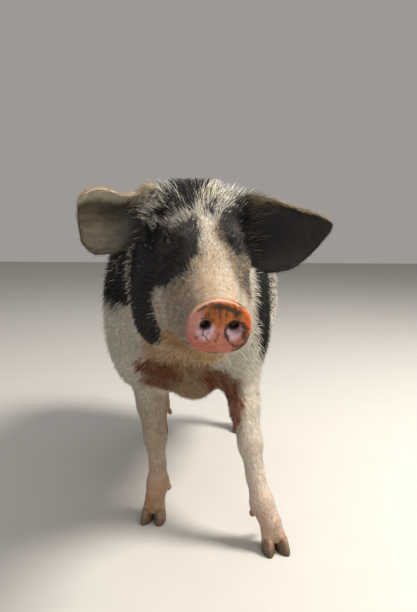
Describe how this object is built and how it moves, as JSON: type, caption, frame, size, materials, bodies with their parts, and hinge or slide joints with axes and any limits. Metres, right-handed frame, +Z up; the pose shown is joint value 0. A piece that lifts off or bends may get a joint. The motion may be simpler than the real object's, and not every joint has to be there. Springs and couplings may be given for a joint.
{
  "type": "pig",
  "caption": "Life-size young farm pig standing four-square with its head up and turned a little, ears held out sideways; a still animal model for a display.",
  "frame": {"origin": "on the floor under the middle of the bounding box", "axes": "+Z up, the pig faces -Y, its left side is +X"},
  "size_m": [0.4364, 1.1712, 0.6445],
  "materials": {
    "eye": "wet, dark",
    "jaw_skin": "short bristles, soiled yellow",
    "head_skin": "short bristles over skin, black and white",
    "snout_skin": "bare damp skin with dried soil",
    "ear_skin": "thin dark skin, thinly haired",
    "neck_skin": "white bristles over pale skin",
    "claw_horn": "smooth worn horn, dusty",
    "dewclaw_horn": "smooth worn horn",
    "leg_skin": "short white hair over pink skin",
    "trunk_skin": "white bristles over pale skin with black patches",
    "tail_skin": "thin pale hair"
  },
  "bodies": {
    "root": {"eye_left": "eye", "eye_right": "eye", "lower_jaw": "jaw_skin", "head": "head_skin", "snout_disc": "snout_skin", "ear_left": "ear_skin", "ear_right": "ear_skin", "neck": "neck_skin", "claw_foreleg_left_outer": "claw_horn", "dewclaw_foreleg_left_outer": "dewclaw_horn", "claw_foreleg_left_inner": "claw_horn", "dewclaw_foreleg_left_inner": "dewclaw_horn", "foreleg_left": "leg_skin", "claw_foreleg_right_outer": "claw_horn", "dewclaw_foreleg_right_outer": "dewclaw_horn", "claw_foreleg_right_inner": "claw_horn", "dewclaw_foreleg_right_inner": "dewclaw_horn", "foreleg_right": "leg_skin", "claw_hindleg_left_outer": "claw_horn", "dewclaw_hindleg_left_outer": "dewclaw_horn", "claw_hindleg_left_inner": "claw_horn", "dewclaw_hindleg_left_inner": "dewclaw_horn", "hindleg_left": "leg_skin", "claw_hindleg_right_outer": "claw_horn", "dewclaw_hindleg_right_outer": "dewclaw_horn", "claw_hindleg_right_inner": "claw_horn", "dewclaw_hindleg_right_inner": "dewclaw_horn", "hindleg_right": "leg_skin", "trunk": "trunk_skin", "tail": "tail_skin"}
  },
  "joints": []
}
